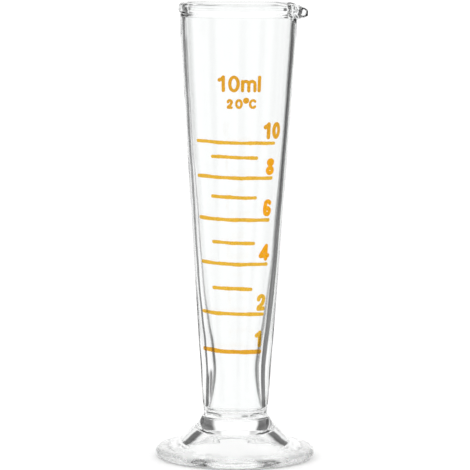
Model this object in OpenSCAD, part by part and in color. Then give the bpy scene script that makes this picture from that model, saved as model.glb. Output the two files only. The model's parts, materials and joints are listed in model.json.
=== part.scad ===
// 10 ml conical graduated measure: a thick clear glass vessel sealed onto a
// pressed glass foot, with fired orange enamel graduations on its front.
// Millimetres. +Z up, the vessel's axis is the Z axis, the foot rests on z = 0,
// the graduations face -Y and the pouring lip points to +X.

/* [Overall] */
// Height from the surface it stands on to the crest of the rim
total_h = 95; // [94:0.5:97]

/* [Foot] */
// Largest radius of the foot, on its rounded edge
foot_r = 16.6; // [15.6:0.1:18]
// Height of the seal between the foot and the vessel
seal_z = 8.8; // [8.6:0.1:9.2]
// Radius of the foot's top face, a little wider than the vessel's base
seal_r = 6.95; // [6.85:0.05:7.1]
// Inner radius of the flat ring that the foot rests on
rest_ring_r = 13.7; // [12.8:0.1:14.2]
// Height of the hollow pressed into the foot's underside
punt_h = 4.7; // [4.4:0.1:5]

/* [Vessel] */
// Outer radius of the vessel at the seal
neck_r = 6.65; // [6.5:0.05:6.75]
// Height at which the straight cone of the vessel begins
cone_z0 = 20; // [19:0.5:21]
// Outer radius where the cone begins
cone_r0 = 7.51; // [7.4:0.01:7.7]
// How far the cone's radius grows per millimetre of height
cone_slope = 0.0665; // [0.06:0.0005:0.07]
// Height of the inside floor
floor_z = 9.8; // [9.6:0.1:10.2]
// Radius of the corner between the floor and the wall inside
floor_corner = 1.4; // [1:0.1:2.2]

/* [Rim and lip] */
// Height of the thick fire-polished bead around the mouth
bead_h = 2.4; // [2.2:0.1:3.2]
// Thickness of that bead, measured along the radius
bead_w = 1.95; // [1.6:0.05:2.1]
// Radius of the bead's centre line
bead_r = 11.5; // [11.4:0.05:11.6]
// Radius of the centre line of the lip's own curve, seen from above
lip_r = 4.4; // [4:0.1:4.8]
// Distance from the axis to the centre of the lip's curve
lip_x = 9; // [8.6:0.1:9.2]
// How far the lip hangs below the rest of the rim
lip_droop = 0.9; // [0:0.05:1]

/* [Graduations] */
// Thickness of the fired enamel
enamel_t = 0.08; // [0.05:0.01:0.15]
// Width of a graduation line
line_w = 0.65; // [0.4:0.05:0.8]
// Slant of the print: how far the lines fall towards +X, in degrees
print_skew = 1.6; // [0:0.1:3]
// Left end of the long (numbered) lines, degrees from the front
major_from = -53.5; // [-60:0.5:-40]
// Right end of the long lines
major_to = 45; // [40:0.5:50]
// Left end of the short lines
minor_from = -32; // [-38:0.5:-26]
// Right end of the short lines
minor_to = 23; // [18:0.5:28]
// Height of the numerals
digit_h = 3.55; // [3:0.05:3.8]
// Width of the numerals' strokes
stroke_w = 0.7; // [0.5:0.02:0.74]

/* [Hidden] */
$fn = 96;

glass = [0.86, 0.92, 0.93, 0.55];
foot_glass = [0.80, 0.89, 0.91, 0.65];
orange = [0.95, 0.62, 0.10];

cone_z1 = 88;                                  // top of the straight cone
cone_r1 = cone_r0 + cone_slope * (cone_z1 - cone_z0);
wall_z1 = total_h - bead_h + bead_w / 2;       // the wall ends inside the bead
lean = atan(cone_slope);                       // half angle of the cone
eps = 0.01;

// ---------------------------------------------------------------- functions

// A smooth curve through a table of [z, r] rows: cubic pieces whose slope at
// each row is the mean of the slopes on either side.
function step(t, i) = (t[i + 1][1] - t[i][1]) / (t[i + 1][0] - t[i][0]);
function slope(t, i) = i <= 0 ? step(t, 0)
    : i >= len(t) - 1 ? step(t, len(t) - 2)
    : (step(t, i - 1) + step(t, i)) / 2;
function row(t, z, i = 0) = i >= len(t) - 2 || z < t[i + 1][0] ? i : row(t, z, i + 1);
function piece(t, z, i) = let (h = t[i + 1][0] - t[i][0], s = (z - t[i][0]) / h)
    (2 * s^3 - 3 * s^2 + 1) * t[i][1] + (s^3 - 2 * s^2 + s) * h * slope(t, i)
    + (3 * s^2 - 2 * s^3) * t[i + 1][1] + (s^3 - s^2) * h * slope(t, i + 1);
function smooth(t, z) = piece(t, z, row(t, z));

// Outside of the vessel: [height, radius]. Between cone_z0 and cone_z1 it is
// one straight cone, which carries all the enamel.
neck = [[seal_z, neck_r], [11, neck_r + 0.15], [13.8, 7.05], [17, 7.29], [cone_z0, cone_r0]];
function outer_r(z) = z < cone_z0 ? smooth(neck, z)
    : z < cone_z1 ? cone_r0 + cone_slope * (z - cone_z0)
    : cone_r1 + 0.02 * (z - cone_z1);

// Inside of the vessel: the wall is thin above and thickens to a waist about
// 18 mm up, as it does where the gather was drawn in before it was sealed.
bore = [
    [floor_z, 5.6], [12.5, 5.1], [15.5, 4.75], [18.5, 4.68], [22.5, 5.2],
    [27, 6.3], [31, 7.12], [35, 7.75], [40, 8.12], [47, 8.28], [55, 8.62],
    [65, 9.42], [78, 10.3], [92, 11.1]
];
function inner_r(z) = let (u = z - floor_z) smooth(bore, z)
    - (u < floor_corner ? floor_corner - sqrt(max(0, floor_corner^2 - (floor_corner - u)^2)) : 0);

// Volume of the inside below each height, in slices of 0.1 mm. The height of
// every graduation is read back from it, so each line marks its own volume.
slice = 0.1;
contents = [
    for (z = floor_z + slice, v = PI * inner_r(floor_z + slice / 2)^2 * slice;
         z < cone_z1;
         v = v + PI * inner_r(z + slice / 2)^2 * slice, z = z + slice)
        [v, z]
];
function level(ml) = lookup(ml * 1000, contents);

// ------------------------------------------------------------------- vessel

module outer_body() {
    rotate_extrude()
        polygon(concat(
            [[0, seal_z]],
            [for (z = [seal_z : (cone_z0 - seal_z) / 10 : cone_z0 - eps]) [outer_r(z), z]],
            [[cone_r0, cone_z0], [cone_r1, cone_z1], [outer_r(wall_z1), wall_z1], [0, wall_z1]]
        ));
}

module cavity() {
    rotate_extrude()
        polygon(concat(
            [[0, floor_z]],
            [for (a = [0 : 11.25 : 78.75]) let (z = floor_z + floor_corner * (1 - cos(a))) [inner_r(z), z]],
            [for (z = [floor_z + floor_corner : 1 : wall_z1]) [inner_r(z), z]],
            [[inner_r(wall_z1), wall_z1], [inner_r(wall_z1), wall_z1 + 1], [0, wall_z1 + 1]]
        ));
}

// The bead's section: a rounded upright bar.
module bead_section(r, top) {
    for (z = [top - bead_w / 2, top - bead_h + bead_w / 2]) translate([r, z]) circle(bead_w / 2);
    translate([r - bead_w / 2, top - bead_h + bead_w / 2]) square([bead_w, bead_h - bead_w]);
}

module rim_bead() {
    rotate_extrude() bead_section(bead_r, total_h);
}

// The pouring lip: the bead bowed outwards, the wall flared out to meet it,
// and the trough that the liquid runs along.
module lip_bead() {
    translate([lip_x, 0, 0]) rotate([0, 0, -72])
        rotate_extrude(angle = 144) bead_section(lip_r, total_h - lip_droop);
}

module lip_flare() {
    translate([lip_x, 0, total_h - 4.1]) cylinder(h = 2.4, r1 = 2.95, r2 = lip_r + 0.6);
}

module lip_trough() {
    translate([lip_x, 0, total_h - 4.2]) cylinder(h = 4.8, r1 = 1.8, r2 = lip_r + 0.6);
}

module measuring_bowl() {
    color(glass)
        difference() {
            union() {
                difference() {
                    union() { outer_body(); lip_flare(); }
                    cavity();
                }
                rim_bead();
                lip_bead();
            }
            lip_trough();
        }
}

// --------------------------------------------------------------------- foot

// The top of the foot, [height, radius], falling from the seal to the edge.
skirt = [
    [2.35, foot_r - 1.35], [2.62, foot_r - 2.25], [2.88, foot_r - 3.25], [3.4, 12.2],
    [4.1, 11.3], [4.9, 10.45], [5.75, 9.5], [6.55, 8.65], [7.3, 7.95], [7.95, 7.45], [seal_z - 0.25, seal_r + 0.15]
];
// The hollow under it, [height, radius]: a steep flank that flattens towards
// the rest ring, below a flat ceiling.
hollow = [
    [0.42, rest_ring_r - 0.3], [0.85, 11.95], [1.4, 10.55], [2.2, 9.55], [3.3, 8.38], [punt_h - 0.2, 7.1]
];
edge_r = 1.175; // radius of the rounded edge

module foot() {
    color(foot_glass)
        rotate_extrude()
            polygon(concat(
                [[0, seal_z], [seal_r - 0.1, seal_z], [seal_r + 0.03, seal_z - 0.05]],
                [for (i = [len(skirt) - 1 : -1 : 1], k = [0 : 0.34 : 0.9])
                    let (z = skirt[i][0] + k * (skirt[i - 1][0] - skirt[i][0])) [smooth(skirt, z), z]],
                [for (a = [90 : -15 : -90]) [foot_r - edge_r + edge_r * cos(a), edge_r + edge_r * sin(a)]],
                [[rest_ring_r + 0.3, 0], [rest_ring_r - 0.02, 0.04], [rest_ring_r - 0.2, 0.2]],
                [for (i = [0 : len(hollow) - 2], k = [0 : 0.34 : 0.9])
                    let (z = hollow[i][0] + k * (hollow[i + 1][0] - hollow[i][0])) [smooth(hollow, z), z]],
                [[7.1, punt_h - 0.2], [6.92, punt_h - 0.06], [6.66, punt_h], [0, punt_h]]
            ));
}

// ------------------------------------------------------------------- enamel

// A skin of enamel on the straight cone from z0 to z1. Its inner face is the
// glass surface itself.
module skin(z0, z1) {
    rotate_extrude()
        polygon([
            [outer_r(z0), z0], [outer_r(z0) + enamel_t, z0],
            [outer_r(z1) + enamel_t, z1], [outer_r(z1), z1]
        ]);
}

// One graduation line: the band of enamel between two slanted planes, from one
// angle round the vessel to another.
module line(ml, from, to) {
    z = level(ml);
    color(orange)
        intersection() {
            skin(z - 1.4, z + 1.4);
            translate([0, 0, z]) rotate([0, print_skew, 0]) rotate([0, 0, from - 90])
                rotate_extrude(angle = to - from)
                    translate([2, -line_w / 2]) square([foot_r, line_w]);
        }
}

module major_line(ml) { line(ml, major_from, major_to); }
module minor_line(ml) { line(ml, minor_from, minor_to); }

// Points of an arc of an ellipse.
function arc(cx, cy, rx, ry, a0, a1, n = 12) =
    [for (i = [0 : n]) let (a = a0 + (a1 - a0) * i / n) [cx + rx * cos(a), cy + ry * sin(a)]];

// A pen stroke of width w along the points p, with round ends.
function unit(v) = v / norm(v);
function left(v) = [-v[1], v[0]];
function normal(p, i) = left(unit(
    (i > 0 ? unit(p[i] - p[i - 1]) : [0, 0]) + (i < len(p) - 1 ? unit(p[i + 1] - p[i]) : [0, 0])));
function cap(c, n, w) = [for (a = [-150 : 30 : -30]) c + w / 2 * [n[0] * cos(a + 180) - n[1] * sin(a + 180), n[0] * sin(a + 180) + n[1] * cos(a + 180)]];
function stroke(p, w) = concat(
    [for (i = [0 : len(p) - 1]) p[i] - normal(p, i) * w / 2],
    cap(p[len(p) - 1], -normal(p, len(p) - 1), w),
    [for (i = [len(p) - 1 : -1 : 0]) p[i] + normal(p, i) * w / 2],
    cap(p[0], normal(p, 0), w)
);
module pen(p, w = stroke_w) { linear_extrude(1.6, center = true) polygon(stroke(p, w)); }

// A closed loop of a pen stroke.
module loop(cx, cy, rx, ry, w = stroke_w) {
    n = 28;
    linear_extrude(1.6, center = true)
        polygon(
            concat(
                [for (i = [0 : n - 1]) [cx + (rx + w / 2) * cos(i * 360 / n), cy + (ry + w / 2) * sin(i * 360 / n)]],
                [for (i = [0 : n - 1]) [cx + (rx - w / 2) * cos(i * 360 / n), cy + (ry - w / 2) * sin(i * 360 / n)]]
            ),
            [[for (i = [0 : n - 1]) i], [for (i = [0 : n - 1]) n + i]]
        );
}

// The characters. h is the height over all; each stands on v = 0 and is
// centred on u = 0.
module glyph_1(h, w = stroke_w) {
    pen([[-0.28 * h + w / 2, h * 0.72], [0, h * 0.8], [0.07 * h, h - w / 2]], w);
    pen([[0.07 * h, h - w / 2], [0.07 * h, w / 2]], w);
}
module glyph_0(h, w = stroke_w, b = 0.33) { loop(0, h / 2, b * h - w / 2, h / 2 - w / 2, w); }
module glyph_2(h, w = stroke_w) {
    rx = 0.31 * h - w / 2;
    pen(concat(
        arc(0, h * 0.7, rx, h * 0.3 - w / 2, 185, -15, 12),
        [[0.1 * h, 0.42 * h], [-0.16 * h, 0.22 * h], [-rx, w * 0.62]]
    ), w);
    pen([[-rx, w / 2], [rx * 0.95, w / 2]], w);
}
module glyph_4(h, w = stroke_w) {
    pen([[0.14 * h, w / 2], [0.14 * h, h - w / 2]], w);
    pen([[0.12 * h, h - w / 2 - 0.03], [-0.25 * h, 0.31 * h]], w);
    pen([[-0.24 * h, 0.3 * h], [0.29 * h, 0.3 * h]], w);
}
module glyph_6(h, w = stroke_w) {
    rx = 0.3 * h - w / 2;
    loop(0, h * 0.3, rx, h * 0.3 - w / 2, w);
    pen(concat(
        arc(rx * 0.1, h * 0.72, rx * 0.95, h * 0.28 - w / 2, 25, 150, 9),
        [[-rx * 0.98, h * 0.55], [-rx, h * 0.3]]
    ), w);
}
module glyph_8(h, w = stroke_w) {
    rx = 0.31 * h - w / 2;
    loop(0, h * 0.28, rx, h * 0.28 - w / 2, w);
    loop(0.02 * h, h * 0.75, rx * 0.85, h * 0.25 - w / 2, w * 0.95);
}
module glyph_m(h, w = stroke_w) {
    x = 0.62 * h - w / 2;
    pen([[-x, h - w / 2], [-x, w / 2]], w);
    for (c = [-x / 2, x / 2])
        pen(concat([[c - x / 2, h * 0.55]], arc(c, h - w / 2 - x * 0.48, x / 2, x * 0.48, 165, 0, 8), [[c + x / 2, w / 2]]), w);
}
module glyph_l(h, w = stroke_w) { pen([[0, h - w / 2], [0, w / 2]], w); }
module glyph_c(h, w = stroke_w) {
    pen(arc(0.05 * h, h / 2, 0.42 * h - w / 2, h / 2 - w / 2, 42, 318, 16), w);
}
module glyph_degree(d) { linear_extrude(1.6, center = true) circle(d / 2); }

// Sets a character on the cone at an angle round the vessel and a height, and
// keeps only the skin of enamel that it covers.
module printed(angle, z, h, turn = 0) {
    intersection() {
        skin(z - 0.6, z + h + 0.6);
        rotate([0, 0, angle]) translate([0, -outer_r(z), z]) rotate([90 + lean, 0, 0]) rotate([0, 0, turn])
            children();
    }
}

// A numeral stands just above the right end of its line.
function above(ml) = level(ml) - 0.02 * outer_r(level(ml)) + line_w / 2 + 0.55;

module numeral_1() { color(orange) printed(36.1, above(1), digit_h) glyph_1(digit_h); }
module numeral_2() { color(orange) printed(37.5, above(2), digit_h) glyph_2(digit_h); }
module numeral_4() { color(orange) printed(38.2, above(4), digit_h) glyph_4(digit_h); }
module numeral_6() { color(orange) printed(39.6, above(6), digit_h) glyph_6(digit_h); }
module numeral_8() { color(orange) printed(40.7, above(8), digit_h) glyph_8(digit_h); }
module numeral_10() {
    color(orange) {
        printed(34.6, above(10), digit_h) glyph_1(digit_h);
        printed(47.2, above(10), digit_h) glyph_0(digit_h);
    }
}

// The nominal capacity and the temperature it holds at.
legend_z = 77.1;
legend_h = 3.45;
small_z = 73.7;
small_h = 2.05;

module capacity_legend() {
    color(orange) {
        printed(-16.6, legend_z, legend_h) glyph_1(legend_h, 0.6);
        printed(-4.3, legend_z, legend_h) glyph_0(legend_h, 0.6, 0.335);
        printed(11.1, legend_z, 2.6) glyph_m(2.6, 0.6);
        printed(22.3, legend_z, legend_h) glyph_l(legend_h, 0.56);
    }
}

module temperature_legend() {
    color(orange) {
        printed(-8.6, small_z, small_h) glyph_2(small_h, 0.44);
        printed(1, small_z, small_h) glyph_0(small_h, 0.44, 0.38);
        printed(8.5, small_z + 1.72, 0.7) glyph_degree(1.25);
        printed(15.4, small_z, small_h) glyph_c(small_h, 0.44);
    }
}

// ----------------------------------------------------------------- assembly

measuring_bowl();
foot();
major_line(1);  // line_1_ml
major_line(2);  // line_2_ml
minor_line(3);  // line_3_ml
major_line(4);  // line_4_ml
minor_line(5);  // line_5_ml
major_line(6);  // line_6_ml
minor_line(7);  // line_7_ml
major_line(8);  // line_8_ml
minor_line(9);  // line_9_ml
major_line(10);  // line_10_ml
numeral_1();
numeral_2();
numeral_4();
numeral_6();
numeral_8();
numeral_10();
capacity_legend();
temperature_legend();
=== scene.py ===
import json
import math

import bpy
import numpy as np
from mathutils import Matrix, Vector

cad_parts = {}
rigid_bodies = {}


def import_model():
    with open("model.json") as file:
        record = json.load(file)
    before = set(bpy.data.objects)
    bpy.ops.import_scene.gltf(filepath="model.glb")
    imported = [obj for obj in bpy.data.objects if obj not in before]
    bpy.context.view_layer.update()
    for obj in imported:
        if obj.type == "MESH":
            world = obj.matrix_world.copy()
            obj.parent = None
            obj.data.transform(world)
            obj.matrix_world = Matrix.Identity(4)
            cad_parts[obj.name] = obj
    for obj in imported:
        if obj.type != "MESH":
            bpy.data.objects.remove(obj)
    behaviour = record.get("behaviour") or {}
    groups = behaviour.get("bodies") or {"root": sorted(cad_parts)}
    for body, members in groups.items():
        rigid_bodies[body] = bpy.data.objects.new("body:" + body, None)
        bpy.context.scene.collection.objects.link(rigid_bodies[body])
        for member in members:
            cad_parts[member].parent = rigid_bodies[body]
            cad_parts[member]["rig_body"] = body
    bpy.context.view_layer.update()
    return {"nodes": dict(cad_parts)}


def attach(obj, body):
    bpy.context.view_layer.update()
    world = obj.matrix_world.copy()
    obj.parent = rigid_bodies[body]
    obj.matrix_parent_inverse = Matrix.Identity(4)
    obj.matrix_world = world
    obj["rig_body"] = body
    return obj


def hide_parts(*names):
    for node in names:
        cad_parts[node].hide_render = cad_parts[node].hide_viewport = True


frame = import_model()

# A 10 ml conical graduated measure: a clear glass vessel with a fire-polished
# bead and a pouring lip, fused onto a pressed glass foot, with fired orange
# enamel marks. All lengths below are millimetres in the CAD frame; MM turns
# them into metres. +Z is up, the marks face -Y, the lip points to +X.
MM = 0.001
SEGMENTS = 448

# --------------------------------------------------------------- dimensions
TOTAL_H = 95.0
FOOT_R = 16.6
SEAL_Z = 8.8
SEAL_R = 6.95
REST_RING_R = 13.7
PUNT_H = 4.7
NECK_R = 6.65
CONE_Z0, CONE_R0, CONE_SLOPE, CONE_Z1 = 20.0, 7.51, 0.0665, 88.0
CONE_R1 = CONE_R0 + CONE_SLOPE * (CONE_Z1 - CONE_Z0)
FLOOR_Z, FLOOR_CORNER = 9.8, 1.4
BEAD_H, BEAD_W, BEAD_R = 2.4, 1.95, 11.5
LIP_R, LIP_X, LIP_DROOP = 4.4, 9.0, 0.9
LINE_W = 0.6
PRINT_SKEW = 1.6
DIGIT_H = 3.55


def hermite(table, z):
    """The CAD's smooth curve through [z, r] rows: slopes are the mean of the neighbouring steps."""
    zs = [row[0] for row in table]
    rs = [row[1] for row in table]
    n = len(zs)
    steps = [(rs[i + 1] - rs[i]) / (zs[i + 1] - zs[i]) for i in range(n - 1)]
    slopes = [steps[0]] + [(steps[i - 1] + steps[i]) / 2 for i in range(1, n - 1)] + [steps[-1]]
    i = 0
    while i < n - 2 and ((zs[1] > zs[0] and z >= zs[i + 1]) or (zs[1] < zs[0] and z <= zs[i + 1])):
        i += 1
    h = zs[i + 1] - zs[i]
    s = (z - zs[i]) / h
    return (
        (2 * s**3 - 3 * s**2 + 1) * rs[i]
        + (s**3 - 2 * s**2 + s) * h * slopes[i]
        + (3 * s**2 - 2 * s**3) * rs[i + 1]
        + (s**3 - s**2) * h * slopes[i + 1]
    )


NECK = [[SEAL_Z, NECK_R], [11, NECK_R + 0.15], [13.8, 7.05], [17, 7.29], [CONE_Z0, CONE_R0]]
BORE = [
    [FLOOR_Z, 5.6], [12.5, 5.1], [15.5, 4.75], [18.5, 4.68], [22.5, 5.2],
    [27, 6.3], [31, 7.12], [35, 7.75], [40, 8.12], [47, 8.28], [55, 8.62],
    [65, 9.42], [78, 10.3], [92, 11.1],
]
# the bore as its refracted edges show it: a little narrower than the volumes ask for between 25 and 55 mm
SHOWN_BORE = [
    [FLOOR_Z, 5.75], [12.5, 5.3], [15.5, 4.97], [18.5, 4.9], [22.5, 5.3],
    [27, 5.98], [31, 6.5], [35, 6.95], [40, 7.45], [47, 8.0], [55, 8.6],
    [65, 9.42], [78, 10.3], [92, 11.1],
]


def outer_r(z):
    if z < CONE_Z0:
        return hermite(NECK, z)
    if z < CONE_Z1:
        return CONE_R0 + CONE_SLOPE * (z - CONE_Z0)
    return CONE_R1 + 0.02 * (z - CONE_Z1)


def inner_r(z, table=BORE):
    u = z - FLOOR_Z
    corner = 0.0
    if u < FLOOR_CORNER:
        corner = FLOOR_CORNER - math.sqrt(max(0.0, FLOOR_CORNER**2 - (FLOOR_CORNER - u) ** 2))
    return hermite(table, z) - corner


def shown_r(z):
    return inner_r(z, SHOWN_BORE)


def levels():
    """Height of each millilitre, from the volume of the bore below it."""
    out, volume, z, step = [], 0.0, FLOOR_Z, 0.1
    while len(out) < 10:
        add = math.pi * inner_r(z + step / 2) ** 2 * step
        while len(out) < 10 and volume + add >= 1000 * (len(out) + 1):
            out.append(z + step * (1000 * (len(out) + 1) - volume) / add)
        volume += add
        z += step
    return [None] + out


LEVEL = levels()


# ------------------------------------------------------------------- meshes
def smoothstep(a, b, x):
    t = min(1.0, max(0.0, (x - a) / (b - a)))
    return t * t * (3 - 2 * t)


def new_object(name, verts_mm, faces, mats, face_mat=None, sharp=None):
    mesh = bpy.data.meshes.new(name)
    mesh.from_pydata((np.array(verts_mm, float) * MM).tolist(), [], faces)
    for m in mats:
        mesh.materials.append(m)
    if face_mat is not None:
        mesh.polygons.foreach_set("material_index", np.array(face_mat, np.int32))
    mesh.polygons.foreach_set("use_smooth", np.ones(len(mesh.polygons), bool))
    if sharp:
        pairs = np.zeros(len(mesh.edges) * 2, np.int32)
        mesh.edges.foreach_get("vertices", pairs)
        pairs = np.sort(pairs.reshape(-1, 2), axis=1).astype(np.int64)
        wanted = np.sort(np.array(sharp, np.int64), axis=1)
        big = len(mesh.vertices)
        flags = np.isin(pairs[:, 0] * big + pairs[:, 1], wanted[:, 0] * big + wanted[:, 1])
        layer = mesh.attributes.get("sharp_edge") or mesh.attributes.new("sharp_edge", "BOOLEAN", "EDGE")
        layer.data.foreach_set("value", flags)
    mesh.validate()
    mesh.update()
    obj = bpy.data.objects.new(name, mesh)
    bpy.context.scene.collection.objects.link(obj)
    return obj


def revolve(name, profile, mats, place, n=SEGMENTS):
    """A closed solid of revolution. profile is a list of (r, z, material of the band that follows, sharp); its first
    and last rows lie on the axis. place(r, z, angles, row) gives the final x, y, z of a ring."""
    angles = 2 * math.pi * np.arange(n) / n
    verts, faces, fmat, sharp = [], [], [], []
    rings, count = [], 0
    for k, (r, z, _, crease) in enumerate(profile):
        if r < 1e-9:
            rings.append([count])
            verts.append(np.array([[0.0, 0.0, z]]))
            count += 1
            continue
        ring = list(range(count, count + n))
        x, y, h = place(r, z, angles, k)
        verts.append(np.stack([x, y, np.broadcast_to(h, x.shape)], axis=1))
        rings.append(ring)
        count += n
        if crease:
            sharp += [(ring[i], ring[(i + 1) % n]) for i in range(n)]
    for k in range(len(profile) - 1):
        a, b, m = rings[k], rings[k + 1], profile[k][2]
        for i in range(n):
            j = (i + 1) % n
            if len(a) == 1:
                faces.append((a[0], b[j], b[i]))
            elif len(b) == 1:
                faces.append((a[i], a[j], b[0]))
            else:
                faces.append((a[i], a[j], b[j], b[i]))
        fmat += [m] * n
    return new_object(name, np.concatenate(verts), faces, mats, fmat, sharp)


def waves(angle, z, seed, terms=9, longest=26.0):
    """Gentle unevenness, like that of hand-worked glass: a sum of a few fixed waves, about -1 to 1."""
    rng = np.random.default_rng(seed)
    total = 0.0
    for t in range(terms):
        m = int(rng.integers(0, 4))
        kz = 2 * math.pi / (longest / (1 + t * 0.7))
        total = total + np.sin(m * angle + kz * z + rng.uniform(0, 2 * math.pi)) / (1 + 0.55 * t)
    return total / 2.4


# ---------------------------------------------------------------- materials
def node_tree(block):
    block.use_nodes = True
    tree = block.node_tree
    tree.nodes.clear()
    return tree


def link(tree, a, b):
    tree.links.new(a, b)


def add(tree, kind, **props):
    node = tree.nodes.new(kind)
    for k, v in props.items():
        setattr(node, k, v)
    return node


def noise(tree, coords, scale, detail=2.0, rough=0.5, distortion=0.0):
    node = add(tree, "ShaderNodeTexNoise")
    node.inputs["Scale"].default_value = scale
    node.inputs["Detail"].default_value = detail
    node.inputs["Roughness"].default_value = rough
    node.inputs["Distortion"].default_value = distortion
    link(tree, coords, node.inputs["Vector"])
    return node.outputs["Fac"]


def ramp(tree, value, lo, hi, out_lo, out_hi, smooth=True):
    node = add(tree, "ShaderNodeMapRange")
    node.interpolation_type = "SMOOTHSTEP" if smooth else "LINEAR"
    for key, v in zip(("From Min", "From Max", "To Min", "To Max"), (lo, hi, out_lo, out_hi)):
        node.inputs[key].default_value = v
    link(tree, value, node.inputs["Value"])
    return node.outputs["Result"]


def math_node(tree, op, a, b=None, c=None):
    node = add(tree, "ShaderNodeMath", operation=op)
    for i, v in enumerate((a, b, c)):
        if v is None:
            continue
        if isinstance(v, (int, float)):
            node.inputs[i].default_value = v
        else:
            link(tree, v, node.inputs[i])
    return node.outputs[0]


def glass_material(name, colour, bump_far, bump_near, ior=1.5, matt_from=None):
    """Clear glass: long striae and fine fire-polish ripple in its surface, and a faint breath of haze. From the radius
    matt_from outwards the surface has the softer, mottled skin that a mould leaves."""
    mat = bpy.data.materials.new(name)
    tree = node_tree(mat)
    out = add(tree, "ShaderNodeOutputMaterial")
    bsdf = add(tree, "ShaderNodeBsdfPrincipled")
    bsdf.inputs["Base Color"].default_value = (*colour, 1)
    bsdf.inputs["Transmission Weight"].default_value = 1.0
    bsdf.inputs["IOR"].default_value = ior
    where = add(tree, "ShaderNodeTexCoord").outputs["Object"]
    stretch = add(tree, "ShaderNodeMapping")
    stretch.inputs["Scale"].default_value = (1, 1, 0.28)
    link(tree, where, stretch.inputs["Vector"])
    far = noise(tree, stretch.outputs["Vector"], 160, 1.5)
    near = noise(tree, where, 900, 2.0)
    haze = noise(tree, where, 420, 3.0, 0.6)
    rough = ramp(tree, haze, 0.52, 0.8, 0.0, 0.018)
    if matt_from is not None:
        flat = add(tree, "ShaderNodeSeparateXYZ")
        link(tree, where, flat.inputs[0])
        radius = math_node(tree, "SQRT", math_node(tree, "ADD", math_node(tree, "MULTIPLY", flat.outputs[0], flat.outputs[0]),
                                                   math_node(tree, "MULTIPLY", flat.outputs[1], flat.outputs[1])))
        rim = ramp(tree, radius, matt_from * MM, (matt_from + 1.6) * MM, 0, 1)
        mottle = noise(tree, where, 380, 2.5, 0.55, 0.5)
        skin = ramp(tree, mottle, 0.36, 0.68, 0.16, 0.34)
        ground = math_node(tree, "MULTIPLY", ramp(tree, flat.outputs[2], 0.1 * MM, 0.55 * MM, 1, 0), 0.75)
        rough = math_node(tree, "ADD", rough, math_node(tree, "MULTIPLY", rim, math_node(tree, "ADD", skin, ground)))
        tint = add(tree, "ShaderNodeMix", data_type="RGBA")
        tint.inputs["A"].default_value = (*colour, 1)
        tint.inputs["B"].default_value = (*(c * 0.9 for c in colour), 1)
        link(tree, math_node(tree, "MULTIPLY", rim, ramp(tree, mottle, 0.3, 0.7, 0.45, 1)), tint.inputs["Factor"])
        link(tree, tint.outputs["Result"], bsdf.inputs["Base Color"])
    link(tree, rough, bsdf.inputs["Roughness"])
    b1 = add(tree, "ShaderNodeBump")
    b1.inputs["Distance"].default_value = bump_far * MM
    link(tree, far, b1.inputs["Height"])
    b2 = add(tree, "ShaderNodeBump")
    b2.inputs["Distance"].default_value = bump_near * MM
    link(tree, near, b2.inputs["Height"])
    link(tree, b1.outputs["Normal"], b2.inputs["Normal"])
    link(tree, b2.outputs["Normal"], bsdf.inputs["Normal"])
    link(tree, bsdf.outputs["BSDF"], out.inputs["Surface"])
    return mat


def seal_material():
    """The fused face between vessel and foot: one body of glass there, so light crosses it unbent."""
    mat = bpy.data.materials.new("fused_seal")
    tree = node_tree(mat)
    out = add(tree, "ShaderNodeOutputMaterial")
    clear = add(tree, "ShaderNodeBsdfTransparent")
    link(tree, clear.outputs["BSDF"], out.inputs["Surface"])
    return mat


def enamel_material(name, colour, dark, see_through=0.5):
    """Fired orange enamel: uneven pigment, tiny pits and a glossy, faintly wavy skin that lets some light through."""
    mat = bpy.data.materials.new(name)
    tree = node_tree(mat)
    out = add(tree, "ShaderNodeOutputMaterial")
    bsdf = add(tree, "ShaderNodeBsdfPrincipled")
    where = add(tree, "ShaderNodeTexCoord").outputs["Object"]
    cloud = noise(tree, where, 1500, 3.0, 0.6)
    grain = noise(tree, where, 7000, 2.0, 0.6)
    pits = noise(tree, where, 4200, 3.0, 0.7)
    mix = add(tree, "ShaderNodeMix", data_type="RGBA")
    mix.inputs["A"].default_value = (*colour, 1)
    mix.inputs["B"].default_value = (*dark, 1)
    both = math_node(tree, "ADD", math_node(tree, "MULTIPLY", ramp(tree, cloud, 0.35, 0.7, 0, 1), 0.75),
                     math_node(tree, "MULTIPLY", ramp(tree, grain, 0.4, 0.75, 0, 1), 0.35))
    link(tree, both, mix.inputs["Factor"])
    link(tree, mix.outputs["Result"], bsdf.inputs["Base Color"])
    bsdf.inputs["IOR"].default_value = 1.0
    bsdf.inputs["Transmission Weight"].default_value = see_through
    link(tree, ramp(tree, pits, 0.3, 0.75, 0.18, 0.42), bsdf.inputs["Roughness"])
    bsdf.inputs["Coat Weight"].default_value = 0.3
    bsdf.inputs["Coat Roughness"].default_value = 0.16
    b1 = add(tree, "ShaderNodeBump")
    b1.inputs["Distance"].default_value = 0.012 * MM
    link(tree, pits, b1.inputs["Height"])
    link(tree, b1.outputs["Normal"], bsdf.inputs["Normal"])
    link(tree, b1.outputs["Normal"], bsdf.inputs["Coat Normal"])
    link(tree, bsdf.outputs["BSDF"], out.inputs["Surface"])
    return mat


GLASS = glass_material("clear_glass", (0.94, 0.948, 0.946), 0.012, 0.0008)
FOOT_GLASS = glass_material("pressed_glass", (0.942, 0.946, 0.944), 0.02, 0.0012, matt_from=12.6)
SEAL = seal_material()
LINE_ENAMEL = enamel_material("orange_enamel_lines", (0.872, 0.53, 0.055), (0.812, 0.46, 0.036), 0.9)
LOW_ENAMEL = enamel_material("orange_enamel_lowest_line", (0.84, 0.455, 0.035), (0.78, 0.385, 0.022), 0.9)
DIGIT_ENAMEL = enamel_material("orange_enamel_numerals", (0.95, 0.47, 0.013), (0.88, 0.395, 0.008), 0.4)
LEGEND_ENAMEL = enamel_material("orange_enamel_legends", (0.84, 0.455, 0.03), (0.78, 0.38, 0.018), 0.42)


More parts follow.
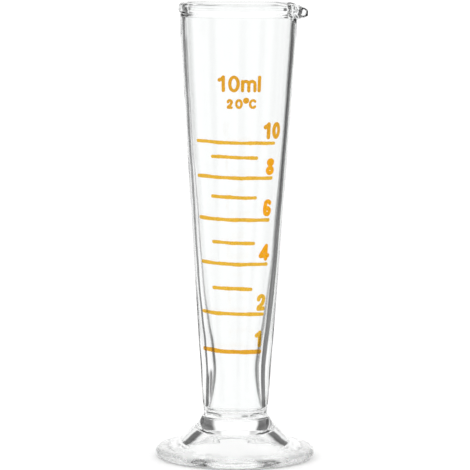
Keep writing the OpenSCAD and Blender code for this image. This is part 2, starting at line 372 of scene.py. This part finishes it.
# ------------------------------------------------------------- vessel mesh
def lip_line(angle):
    """Radius of the bead's centre line at angles from +X: the round mouth with the lip's own curve blended in."""
    a = np.arctan2(np.sin(angle), np.cos(angle))
    under = LIP_R**2 - (LIP_X * np.sin(a)) ** 2
    on = (np.abs(a) < math.radians(29)) & (under > 0)
    lip = np.where(on, LIP_X * np.cos(a) + np.sqrt(np.maximum(under, 0)), 0.0)
    k = 0.42
    h = np.clip(0.5 + 0.5 * (lip - BEAD_R) / k, 0, 1)
    return np.where(on, BEAD_R * (1 - h) + lip * h + k * h * (1 - h), BEAD_R)


def bowl_place(profile_rows):
    def place(r, z, angle, k):
        kind = profile_rows[k][4]
        bulge = lip_line(angle) - BEAD_R
        share = bulge / (LIP_X + LIP_R - BEAD_R)
        if kind == "out":
            r = r + bulge * smoothstep(91.4, 93.0, z)
        elif kind == "bead":
            r = r + bulge
        elif kind == "in":
            r = r + bulge * smoothstep(91.5, 93.7, z)
            r = r + 0.02 * waves(angle, z, 5)
        r = r + 0.03 * waves(angle, 91, 17, 5) * smoothstep(91, 93, z)
        z = z - LIP_DROOP * share * smoothstep(91.3, 93.5, z) + 0.035 * waves(angle, 0, 23, 5) * smoothstep(92.5, 95, z)
        return r * np.cos(angle), r * np.sin(angle), z

    return place


def vessel_profile():
    rows = []  # r, z, material of the next band, sharp, kind

    def put(r, z, kind, mat=0, sharp=False):
        rows.append((r, z, mat, sharp, kind))

    put(0, SEAL_Z, "out", 1)
    put(NECK_R * 0.5, SEAL_Z, "out", 1)
    put(NECK_R, SEAL_Z, "out", 0, True)
    for z in np.arange(SEAL_Z + 0.35, CONE_Z0, 0.45):
        put(outer_r(z), z, "out")
    for z in np.arange(CONE_Z0, CONE_Z1 - 0.2, 1.0):
        put(outer_r(z), z, "out")
    start = TOTAL_H - BEAD_H
    for z in np.arange(CONE_Z1, start - 0.1, 0.35):
        put(outer_r(z), z, "out")
    # the small hollow where the wall meets the bead, then the bead itself
    half = BEAD_W / 2
    top, low = TOTAL_H - half, TOTAL_H - BEAD_H + half
    wall = outer_r(start)
    for r, z in ((0.0, 0.0), (0.006, 0.1), (0.024, 0.19), (0.062, 0.27)):
        put(wall + r, start + z, "out")
    for a in np.linspace(-40, -6, 7):
        put(BEAD_R + half * math.cos(math.radians(a)), low + half * math.sin(math.radians(a)), "out")
    for a in np.linspace(0, 180, 25):
        put(BEAD_R + half * math.cos(math.radians(a)), top + half * math.sin(math.radians(a)), "bead")
    # inside: down the bead and into the bore
    in_r = BEAD_R - half
    zb = start - 0.7
    for t in np.linspace(0.12, 1, 9):
        s = smoothstep(0, 1, t)
        z = low + 0.1 - (low + 0.1 - zb) * t
        put(in_r + (shown_r(z) - in_r) * s, z, "in")
    for z in np.arange(zb - 0.5, FLOOR_Z + FLOOR_CORNER, -0.7):
        put(shown_r(z), z, "in")
    for a in np.linspace(90, 8, 12):
        z = FLOOR_Z + FLOOR_CORNER * (1 - math.cos(math.radians(a)))
        put(shown_r(z), z, "in")
    flat = shown_r(FLOOR_Z + FLOOR_CORNER * (1 - math.cos(math.radians(8))))
    put(flat * 0.66, FLOOR_Z + 0.008, "in")
    put(flat * 0.33, FLOOR_Z + 0.002, "in")
    put(0, FLOOR_Z, "in")
    return rows


rows = vessel_profile()
bowl = revolve("vessel", [r[:4] for r in rows], [GLASS, SEAL], bowl_place(rows))
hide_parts("measuring_bowl")
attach(bowl, frame["nodes"]["measuring_bowl"]["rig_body"])


# --------------------------------------------------------------- foot mesh
SKIRT = [
    [2.35, FOOT_R - 1.35], [2.62, FOOT_R - 2.25], [2.88, FOOT_R - 3.25], [3.4, 12.2],
    [4.1, 11.3], [4.9, 10.45], [5.75, 9.5], [6.55, 8.65], [7.3, 7.95], [7.95, 7.45], [SEAL_Z - 0.25, SEAL_R + 0.15],
]
HOLLOW = [[0.42, REST_RING_R - 0.3], [0.85, 11.95], [1.4, 10.55], [2.2, 9.55], [3.3, 8.38], [PUNT_H - 0.2, 7.1]]
EDGE_R = 1.175


def foot_profile():
    rows = []

    def put(r, z, mat=0, sharp=False):
        rows.append((r, z, mat, sharp))

    # from the middle of the underside outwards, round the edge, up the skirt to the seal
    put(0, PUNT_H)
    for r in (1.5, 3.0, 4.5, 5.7, 6.5):
        put(r, PUNT_H)
    for r, z in ((6.7, PUNT_H - 0.01), (6.84, PUNT_H - 0.035), (6.95, PUNT_H - 0.08), (7.03, PUNT_H - 0.13)):
        put(r, z)
    for z in np.linspace(PUNT_H - 0.2, 0.42, 30):
        put(hermite(HOLLOW, z), z)
    for r, z in ((REST_RING_R - 0.2, 0.28), (REST_RING_R - 0.1, 0.17), (REST_RING_R + 0.05, 0.07), (REST_RING_R + 0.25, 0.015),
                 (REST_RING_R + 0.5, 0.0), (FOOT_R - EDGE_R - 0.25, 0.0)):
        put(r, z)
    for a in np.linspace(-90, 90, 25):
        put(FOOT_R - EDGE_R + EDGE_R * math.cos(math.radians(a)), EDGE_R + EDGE_R * math.sin(math.radians(a)))
    for z in list(np.linspace(2.4, 3.3, 9)) + list(np.arange(3.45, SEAL_Z - 0.3, 0.2)):
        put(hermite(SKIRT, z), z)
    put(SEAL_R + 0.15, SEAL_Z - 0.25)
    put(SEAL_R + 0.1, SEAL_Z - 0.12)
    put(SEAL_R + 0.02, SEAL_Z - 0.035)
    put(SEAL_R - 0.1, SEAL_Z)
    put(NECK_R, SEAL_Z, 1, True)
    put(NECK_R * 0.5, SEAL_Z, 1)
    put(0, SEAL_Z, 1)
    return rows


def ripple(angle, s, seed, terms=14):
    """The small dents of a pressed rim: waves 2 to 8 mm long that run round it and across it, about -1 to 1."""
    rng = np.random.default_rng(seed)
    total = 0.0
    for _ in range(terms):
        m = int(rng.integers(7, 34))
        total = total + np.sin(m * angle + 2 * math.pi * s / rng.uniform(2.2, 7) + rng.uniform(0, 2 * math.pi)) * rng.uniform(0.4, 1)
    return total / (0.7 * math.sqrt(terms) * 1.6)


def foot_place(r, z, angle, k):
    if 1e-6 < z < SEAL_Z - 1e-6:
        dents = smoothstep(12.2, 13.8, r) * smoothstep(0.05, 0.9, z)
        r, z = (
            r + 0.03 * waves(angle, z * 2, 41, 6) * smoothstep(7.4, 9.5, r) + 0.02 * dents * ripple(angle, z * 1.4 + r, 47),
            z + 0.025 * waves(angle, r * 1.5, 43, 6) * smoothstep(7.6, 9, r) * smoothstep(0.1, 1.0, z)
            + 0.016 * dents * ripple(angle, r + z, 53),
        )
    return r * np.cos(angle), r * np.sin(angle), z


foot = revolve("foot_glass", foot_profile(), [FOOT_GLASS, SEAL], foot_place)
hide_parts("foot")
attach(foot, frame["nodes"]["foot"]["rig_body"])


# ------------------------------------------------------------------ enamel
def arc(cx, cy, rx, ry, a0, a1, n=16):
    return [(cx + rx * math.cos(math.radians(a0 + (a1 - a0) * i / n)), cy + ry * math.sin(math.radians(a0 + (a1 - a0) * i / n))) for i in range(n + 1)]


def stroke_field(points, strokes):
    """Signed distance from each point to the union of pen strokes: (polyline, widths along it)."""
    best = np.full(len(points), 1e9)
    for line, widths in strokes:
        line = np.array(line, float)
        w = np.full(len(line), float(widths)) if np.isscalar(widths) else np.array(widths, float)
        for i in range(max(1, len(line) - 1)):
            a = line[i]
            b = line[min(i + 1, len(line) - 1)]
            ab = b - a
            t = np.zeros(len(points)) if len(line) == 1 else np.clip(((points - a) @ ab) / max(1e-12, ab @ ab), 0, 1)
            near = a + t[:, None] * ab
            half = (w[i] + (w[min(i + 1, len(w) - 1)] - w[i]) * t) / 2
            best = np.minimum(best, np.linalg.norm(points - near, axis=1) - half)
    return best


def soft_noise(x, y, seed, size):
    """Smooth value noise from a fixed table, about -1 to 1."""
    rng = np.random.default_rng(seed)
    table = rng.uniform(-1, 1, (64, 64))
    fx, fy = x / size + 100, y / size + 100
    ix, iy = np.floor(fx).astype(int), np.floor(fy).astype(int)
    tx, ty = fx - ix, fy - iy
    tx, ty = tx * tx * (3 - 2 * tx), ty * ty * (3 - 2 * ty)
    a = table[ix % 64, iy % 64] * (1 - tx) + table[(ix + 1) % 64, iy % 64] * tx
    b = table[ix % 64, (iy + 1) % 64] * (1 - tx) + table[(ix + 1) % 64, (iy + 1) % 64] * tx
    return a * (1 - ty) + b * ty


GAP = 0.004      # the enamel's inner face clears the wall by this much
ENAMEL_T = 0.08  # its height in the middle of a stroke
ROUND = 0.16     # how far in from the edge it takes to reach that height


def enamel(name, groups, mat, node, cell=0.05, wobble=0.03, seed=1):
    """One printed mark as a closed skin. groups is a list of (strokes, angle of u = 0, height of v = 0) with strokes
    drawn in u, v: u runs round the wall towards +X and v up the wall."""
    verts, faces, sharp = [], [], []
    lean = math.atan(CONE_SLOPE)
    for g, (strokes, angle0, z0) in enumerate(groups):
        pts = np.array([p for line, _ in strokes for p in line], float)
        pad = 0.7
        lo, hi = pts.min(0) - pad, pts.max(0) + pad
        nu, nv = int((hi[0] - lo[0]) / cell) + 2, int((hi[1] - lo[1]) / cell) + 2
        us, vs = lo[0] + cell * np.arange(nu), lo[1] + cell * np.arange(nv)
        grid = np.array([(u, v) for v in vs for u in us])
        d = stroke_field(grid, strokes)
        d += wobble * soft_noise(grid[:, 0], grid[:, 1], seed * 7 + g, 0.45)
        d += wobble * 0.5 * soft_noise(grid[:, 0], grid[:, 1], seed * 11 + g, 0.17)
        d = np.where(np.abs(d) < cell * 0.04, cell * 0.04 * np.where(d < 0, -1, 1), d).reshape(nv, nu)
        r0 = outer_r(z0)

        def on_wall(u, v, height):
            z = z0 + v * math.cos(lean)
            r = outer_r(z) + GAP + height
            a = math.radians(angle0) + u / r0
            return (r * math.sin(a), -r * math.cos(a), z)

        def height(depth):
            t = min(1.0, depth / ROUND)
            return ENAMEL_T * math.sqrt(max(0.0, 1 - (1 - t) ** 2))

        top, bottom, edge = {}, {}, {}

        def node_vertex(j, i):
            if (j, i) not in top:
                top[(j, i)] = len(verts)
                verts.append(on_wall(us[i], vs[j], height(-d[j, i])))
                bottom[(j, i)] = len(verts)
                verts.append(on_wall(us[i], vs[j], 0.0))
            return top[(j, i)], bottom[(j, i)]

        def edge_vertex(p, q):
            key = (p, q) if p < q else (q, p)
            if key not in edge:
                (j0, i0), (j1, i1) = key
                a, b = d[j0, i0], d[j1, i1]
                t = a / (a - b)
                edge[key] = len(verts)
                verts.append(on_wall(us[i0] + t * (us[i1] - us[i0]), vs[j0] + t * (vs[j1] - vs[j0]), 0.0))
            return edge[key], edge[key]

        inside = d < 0
        active = inside[:-1, :-1] | inside[1:, :-1] | inside[:-1, 1:] | inside[1:, 1:]
        for j, i in np.argwhere(active):
            corners = [(j, i), (j, i + 1), (j + 1, i + 1), (j + 1, i)]
            flags = [bool(inside[c]) for c in corners]
            polygons = []
            if flags in ([True, False, True, False], [False, True, False, True]):
                for k in range(4):
                    if flags[k]:
                        polygons.append([("e", corners[k - 1], corners[k]), ("n", corners[k]), ("e", corners[k], corners[(k + 1) % 4])])
            else:
                loop = []
                for k in range(4):
                    a, b = corners[k], corners[(k + 1) % 4]
                    if flags[k]:
                        loop.append(("n", a))
                    if flags[k] != flags[(k + 1) % 4]:
                        loop.append(("e", a, b))
                polygons.append(loop)
            for loop in polygons:
                ids = [node_vertex(*item[1]) if item[0] == "n" else edge_vertex(item[1], item[2]) for item in loop]
                faces.append(tuple(t for t, _ in ids))
                faces.append(tuple(b for _, b in reversed(ids)))
                for k in range(len(loop)):
                    if loop[k][0] == "e" and loop[(k + 1) % len(loop)][0] == "e":
                        sharp.append((ids[k][0], ids[(k + 1) % len(loop)][0]))
    obj = new_object(name, verts, faces, [mat], None, sharp)
    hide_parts(node)
    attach(obj, frame["nodes"][node]["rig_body"])
    return obj


# left end, right end (degrees from the front), print error in height, tilt, stroke width
LINES = {
    1: (-59.0, 40.8, 0.3, 1.9, 0.9),
    2: (-57.5, 42.8, 0.16, 1.75, 0.76),
    3: (-33.6, 21.0, -0.12, 1.6, 0.79),
    4: (-53.2, 44.6, 0.13, 1.65, 0.76),
    5: (-32.0, 22.6, -0.17, 1.35, 0.73),
    6: (-53.0, 43.9, 0.05, 1.5, 0.77),
    7: (-31.6, 23.0, 0.3, 1.5, 0.73),
    8: (-53.0, 44.9, 0.2, 1.4, 0.76),
    9: (-30.4, 22.7, 0.6, 1.3, 0.71),
    10: (-52.2, 46.2, 0.0, 1.3, 0.72),
}
for ml, (a0, a1, shift, tilt, width) in LINES.items():
    z = LEVEL[ml] + shift
    r = outer_r(z)
    count = 60
    line, widths = [], []
    rng = np.random.default_rng(100 + ml)
    phase = rng.uniform(0, 2 * math.pi, 4)
    for i in range(count + 1):
        a = a0 + (a1 - a0) * i / count
        u = r * math.radians(a)
        x = r * math.sin(math.radians(a))
        sway = 0.035 * math.sin(u / 1.9 + phase[0]) + 0.02 * math.sin(u / 0.8 + phase[1])
        line.append((u, (-x * math.tan(math.radians(tilt)) + sway)))
        widths.append(width * (1 + 0.06 * math.sin(u / 1.3 + phase[2]) + 0.05 * math.sin(u / 0.55 + phase[3])))
    # the pen's round ends reach past its last points by half a width
    line[0] = (line[0][0] + width / 2, line[0][1])
    line[-1] = (line[-1][0] - width / 2, line[-1][1])
    enamel(f"enamel_line_{ml}_ml", [([(line, widths)], 0.0, z)], LOW_ENAMEL if ml == 1 else LINE_ENAMEL, f"line_{ml}_ml", seed=ml)


W = 0.92


def glyph_1(h, w=W):
    return [([(-0.28 * h + w / 2, h * 0.72), (0, h * 0.8), (0.07 * h, h - w / 2)], w), ([(0.07 * h, h - w / 2), (0.07 * h, w / 2)], w)]


def glyph_0(h, w=W, b=0.33):
    return [(arc(0, h / 2, b * h - w / 2, h / 2 - w / 2, 0, 360, 40), w)]


def glyph_2(h, w=W):
    rx = 0.31 * h - w / 2
    return [
        (arc(0, h * 0.7, rx, h * 0.3 - w / 2, 185, -15, 14) + [(0.1 * h, 0.42 * h), (-0.16 * h, 0.22 * h), (-rx, w * 0.62)], w),
        ([(-rx, w / 2), (rx * 0.95, w / 2)], w),
    ]


def glyph_4(h, w=W):
    return [
        ([(0.14 * h, w / 2), (0.14 * h, h - w / 2)], w),
        ([(0.12 * h, h - w / 2 - 0.03), (-0.25 * h, 0.31 * h)], w),
        ([(-0.24 * h, 0.3 * h), (0.29 * h, 0.3 * h)], w),
    ]


def glyph_6(h, w=W):
    rx = 0.3 * h - w / 2
    return [
        (arc(0, h * 0.3, rx, h * 0.3 - w / 2, 0, 360, 32), w),
        (arc(rx * 0.1, h * 0.72, rx * 0.95, h * 0.28 - w / 2, 25, 150, 9) + [(-rx * 0.98, h * 0.55), (-rx, h * 0.3)], w),
    ]


def glyph_8(h, w=W):
    rx = 0.31 * h - w / 2
    return [
        (arc(0, h * 0.28, rx, h * 0.28 - w / 2, 0, 360, 32), w),
        (arc(0.02 * h, h * 0.75, rx * 0.85, h * 0.25 - w / 2, 0, 360, 32), w * 0.95),
    ]


def glyph_m(h, w=W):
    x = 0.62 * h - w / 2
    out = [([(-x, h - w / 2), (-x, w / 2)], w)]
    for c in (-x / 2, x / 2):
        out.append(([(c - x / 2, h * 0.55)] + arc(c, h - w / 2 - x * 0.48, x / 2, x * 0.48, 165, 0, 8) + [(c + x / 2, w / 2)], w))
    return out


def glyph_l(h, w=W):
    return [([(0, h - w / 2), (0, w / 2)], w)]


def glyph_c(h, w=W):
    return [(arc(0.05 * h, h / 2, 0.42 * h - w / 2, h / 2 - w / 2, 42, 318, 20), w)]


def glyph_degree(d):
    return [([(0, 0), (0.001, 0)], d)]


def above(ml):
    return LEVEL[ml] - 0.02 * outer_r(LEVEL[ml]) + LINE_W / 2 + 0.55


NUMERALS = {
    1: [(glyph_1, 36.1)], 2: [(glyph_2, 37.5)], 4: [(glyph_4, 38.2)], 6: [(glyph_6, 39.6)], 8: [(glyph_8, 40.7)],
    10: [(glyph_1, 34.6), (glyph_0, 47.2)],
}
for ml, glyphs in NUMERALS.items():
    coat = {1: LINE_ENAMEL, 2: LINE_ENAMEL, 10: LEGEND_ENAMEL}.get(ml, DIGIT_ENAMEL)
    enamel(f"enamel_numeral_{ml}", [(g(DIGIT_H), a, above(ml) + (0.4 if ml == 1 else 0)) for g, a in glyphs], coat, f"numeral_{ml}", cell=0.045, seed=30 + ml)

LEGEND_Z, LEGEND_H, SMALL_Z, SMALL_H = 77.1, 3.45, 73.7, 2.05
enamel("enamel_capacity", [
    (glyph_1(LEGEND_H, 0.74), -16.6, LEGEND_Z), (glyph_0(LEGEND_H, 0.68, 0.345), -4.3, LEGEND_Z),
    (glyph_m(2.6, 0.68), 11.1, LEGEND_Z), (glyph_l(LEGEND_H, 0.73), 22.3, LEGEND_Z),
], LEGEND_ENAMEL, "capacity_legend", cell=0.045, seed=61)
enamel("enamel_temperature", [
    (glyph_2(SMALL_H, 0.54), -8.6, SMALL_Z), (glyph_0(SMALL_H, 0.52, 0.385), 1.0, SMALL_Z),
    (glyph_degree(1.25), 8.5, SMALL_Z + 1.72), (glyph_c(SMALL_H, 0.52), 15.4, SMALL_Z),
], LEGEND_ENAMEL, "temperature_legend", cell=0.035, wobble=0.02, seed=71)


# ------------------------------------------------------------------- stage
# Grey screens round the white studio: bearing from, to and its softness, height from, to and their softness (all in
# degrees), and how much light each takes away.
SCREENS = [
    (22, 54, 3.5, -42, 40, 4, 10, 0.9),
    (-37.5, -23, 2.5, -42, 40, 4, 10, 0.92),
    (-48, -34, 3, -6, 40, 6, 10, 0.92),
    (-66, -52, 3.5, -10, 14, 3, 4, 0.8),
    (-132, -117, 4, -16, 20, 4, 6, 0.8),
    (-86, -70, 4, -42, -17, 5, 3, 0.8),
    (-19, -9, 3, -44, -27, 4, 3, 0.7),
    (85, 104, 6, -36, 0, 8, 6, 0.7),
    (164, 180, 6, -36, -4, 8, 6, 0.65),
]


def studio_world():
    """Soft white light from all round, with greyer bands at the sides that draw the edges of the glass."""
    world = bpy.data.worlds.new("studio")
    bpy.context.scene.world = world
    tree = node_tree(world)
    out = add(tree, "ShaderNodeOutputWorld")
    where = add(tree, "ShaderNodeTexCoord").outputs["Generated"]
    xyz = add(tree, "ShaderNodeSeparateXYZ")
    link(tree, where, xyz.inputs[0])
    x, y, z = xyz.outputs
    side = math_node(tree, "MULTIPLY", math_node(tree, "ARCTAN2", x, y), 180 / math.pi)  # 0 at +Y, 90 at +X
    rise = math_node(tree, "MULTIPLY", math_node(tree, "ARCSINE", z), 180 / math.pi)

    def band(value, a0, a1, s0=3.0, s1=3.0):
        return math_node(tree, "MULTIPLY", ramp(tree, value, a0 - s0, a0 + s0, 0, 1), ramp(tree, value, a1 - s1, a1 + s1, 1, 0))

    shade = None
    for a0, a1, soft, r0, r1, fade0, fade1, depth in SCREENS:
        part = math_node(tree, "MULTIPLY", band(side, a0, a1, soft, soft), band(rise, r0, r1, fade0, fade1))
        part = math_node(tree, "MULTIPLY", part, depth)
        shade = part if shade is None else math_node(tree, "MAXIMUM", shade, part)
    # the surface it stands on is a little less bright than the walls
    base = ramp(tree, rise, -24, -13, 1.0, 1.12)
    bright = math_node(tree, "MULTIPLY", base, math_node(tree, "SUBTRACT", 1.0, shade))
    path = add(tree, "ShaderNodeLightPath")
    plain = math_node(tree, "MAXIMUM", path.outputs["Is Camera Ray"], path.outputs["Is Diffuse Ray"])
    seen = add(tree, "ShaderNodeMix", data_type="FLOAT")
    link(tree, plain, seen.inputs["Factor"])
    link(tree, bright, seen.inputs["A"])
    seen.inputs["B"].default_value = 1.12
    bg = add(tree, "ShaderNodeBackground")
    bg.inputs["Color"].default_value = (1, 1, 1, 1)
    link(tree, seen.outputs["Result"], bg.inputs["Strength"])
    link(tree, bg.outputs["Background"], out.inputs["Surface"])
    return world


studio_world()

floor_mesh = bpy.data.meshes.new("floor")
F = 12.0
floor_mesh.from_pydata([(-F, -F, -2e-5), (F, -F, -2e-5), (F, F, -2e-5), (-F, F, -2e-5)], [], [(0, 1, 2, 3)])
floor = bpy.data.objects.new("floor", floor_mesh)
bpy.context.scene.collection.objects.link(floor)
floor_mat = bpy.data.materials.new("floor_white")
t = node_tree(floor_mat)
o = add(t, "ShaderNodeOutputMaterial")
d = add(t, "ShaderNodeBsdfDiffuse")
d.inputs["Color"].default_value = (0.97, 0.97, 0.97, 1)
e = add(t, "ShaderNodeEmission")
e.inputs["Color"].default_value = (1, 1, 1, 1)
e.inputs["Strength"].default_value = 0.06
both = add(t, "ShaderNodeAddShader")
link(t, d.outputs["BSDF"], both.inputs[0])
link(t, e.outputs["Emission"], both.inputs[1])
link(t, both.outputs["Shader"], o.inputs["Surface"])
floor_mesh.materials.append(floor_mat)
floor.visible_transmission = False
floor.visible_glossy = False

# the floor just under the foot as it shows through the glass: a white diffuse surface plus a painted glow that stands
# in for the light reaching the table under the foot
spot_mesh = bpy.data.meshes.new("floor_under_foot_painted_glow")
spot_mesh.from_pydata([(0.0172 * math.cos(2 * math.pi * i / 96), 0.0172 * math.sin(2 * math.pi * i / 96), -1e-5) for i in range(96)], [], [tuple(range(96))])
spot = bpy.data.objects.new("floor_under_foot_painted_glow", spot_mesh)
bpy.context.scene.collection.objects.link(spot)
painted_glow_spot_mat = bpy.data.materials.new("floor_under_foot_painted_glow")
t = node_tree(painted_glow_spot_mat)
o = add(t, "ShaderNodeOutputMaterial")
d = add(t, "ShaderNodeBsdfDiffuse")
d.inputs["Color"].default_value = (0.96, 0.96, 0.96, 1)
# painted light: this emission brightens the patch under the foot as seen through the glass, a painted pool of light
e = add(t, "ShaderNodeEmission")
e.inputs["Color"].default_value = (1, 1, 1, 1)
e.inputs["Strength"].default_value = 0.5
both = add(t, "ShaderNodeAddShader")
link(t, d.outputs["BSDF"], both.inputs[0])
link(t, e.outputs["Emission"], both.inputs[1])
link(t, both.outputs["Shader"], o.inputs["Surface"])
spot_mesh.materials.append(painted_glow_spot_mat)
spot.visible_camera = False
spot.visible_diffuse = False
spot.visible_glossy = False
spot.visible_shadow = False

# ------------------------------------------------------------------ camera
cam_data = bpy.data.cameras.new("camera")
cam_data.sensor_width = 36.0
cam_data.lens = 229.4
cam_data.clip_start, cam_data.clip_end = 0.02, 60.0
cam = bpy.data.objects.new("camera", cam_data)
bpy.context.scene.collection.objects.link(cam)
OFF = -0.385
eye = Vector((OFF, -620.0, 115.0)) * MM
aim = Vector((OFF, 0.0, 46.68)) * MM
forward = (aim - eye).normalized()
right = forward.cross(Vector((0, 0, 1))).normalized()
up = right.cross(forward)
roll = math.radians(0.47)
right2 = right * math.cos(roll) + up * math.sin(roll)
up2 = up * math.cos(roll) - right * math.sin(roll)
cam.matrix_world = Matrix((
    (right2.x, up2.x, -forward.x, eye.x),
    (right2.y, up2.y, -forward.y, eye.y),
    (right2.z, up2.z, -forward.z, eye.z),
    (0, 0, 0, 1),
))
bpy.context.scene.camera = cam

scene = bpy.context.scene
scene.view_settings.view_transform = "Standard"
scene.view_settings.look = "None"
scene.cycles.max_bounces = 32
scene.cycles.transmission_bounces = 32
scene.cycles.glossy_bounces = 12
scene.cycles.diffuse_bounces = 3
scene.cycles.transparent_max_bounces = 24
